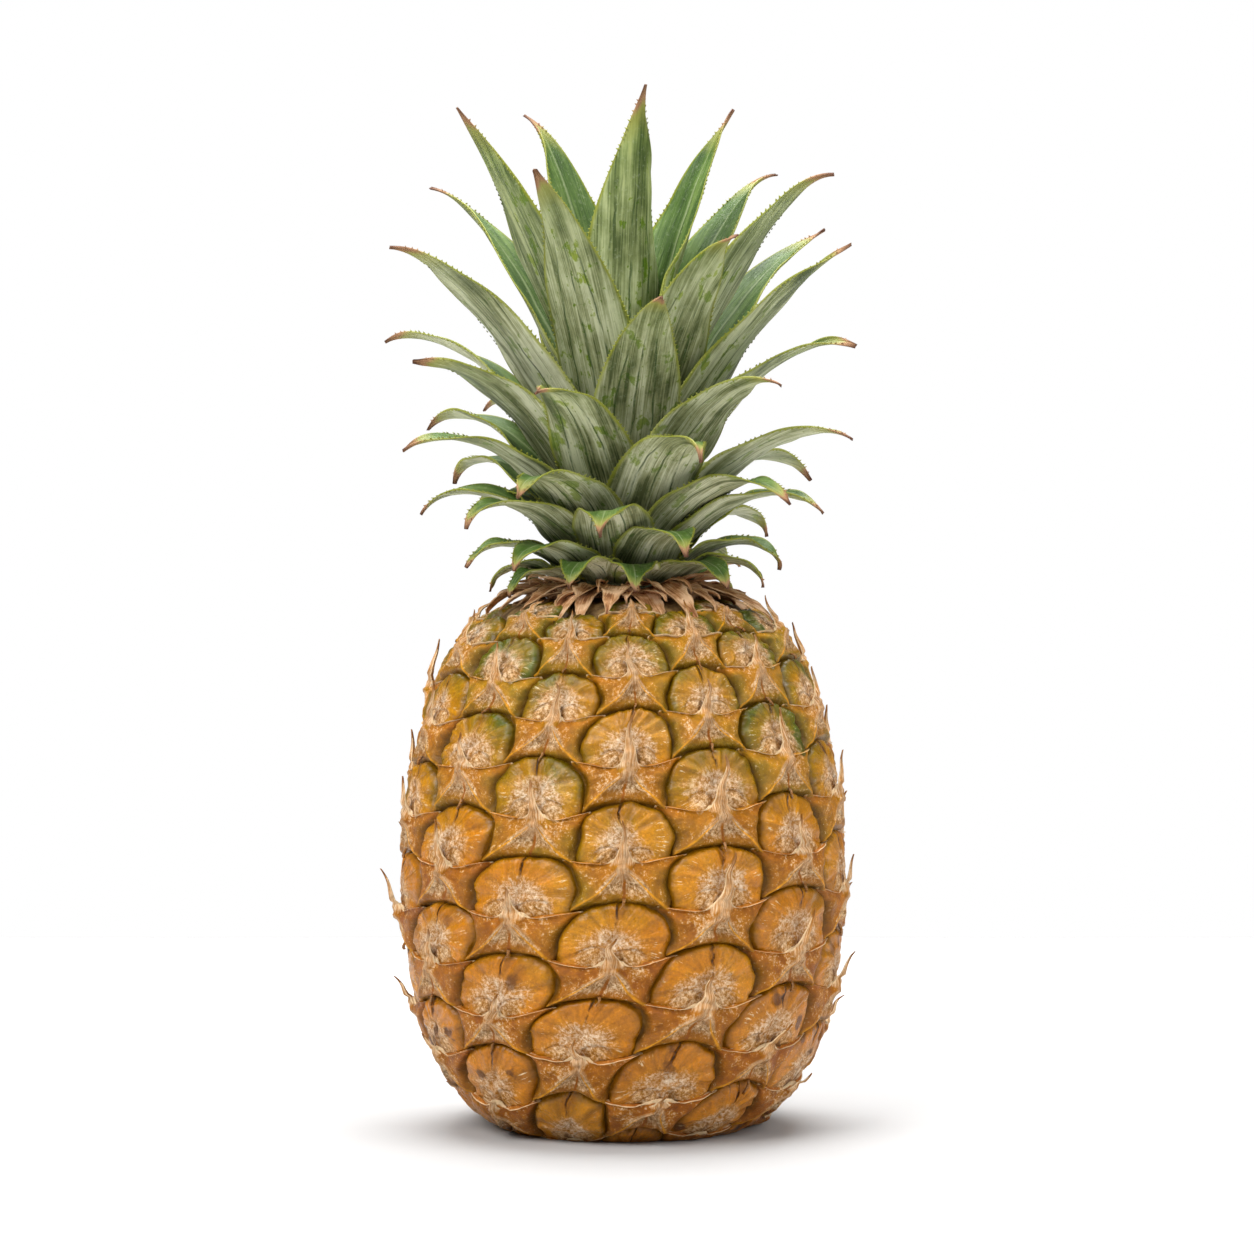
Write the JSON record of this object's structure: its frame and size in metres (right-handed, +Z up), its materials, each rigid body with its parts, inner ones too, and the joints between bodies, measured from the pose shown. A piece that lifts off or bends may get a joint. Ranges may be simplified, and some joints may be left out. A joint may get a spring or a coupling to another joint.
{
  "type": "pineapple",
  "caption": "Whole fresh pineapple standing upright: barrel-shaped fruit covered in spiral eyes with bracts and spikes, under a crown of arching spined leaves.",
  "frame": {"origin": "on the surface that the fruit stands on, at the middle of the cut stalk in the base", "axes": "+Z up from the base to the tip of the crown; -Y towards the side that the picture shows"},
  "size_m": [0.1331, 0.1365, 0.2902],
  "materials": {
    "skin": "ripe pineapple rind, waxy orange domes with papery tan bracts and green grooves",
    "stalk": "cut fibrous stalk, dry and matt",
    "leaf": "stiff waxy leaf with a pale grey-green bloom and yellow-green edges",
    "dry_flap": "dry brown papery bract"
  },
  "bodies": {
    "root": {"fruit": "skin", "stalk_stub": "stalk", "crown": "leaf", "dry_collar": "dry_flap"}
  },
  "joints": []
}
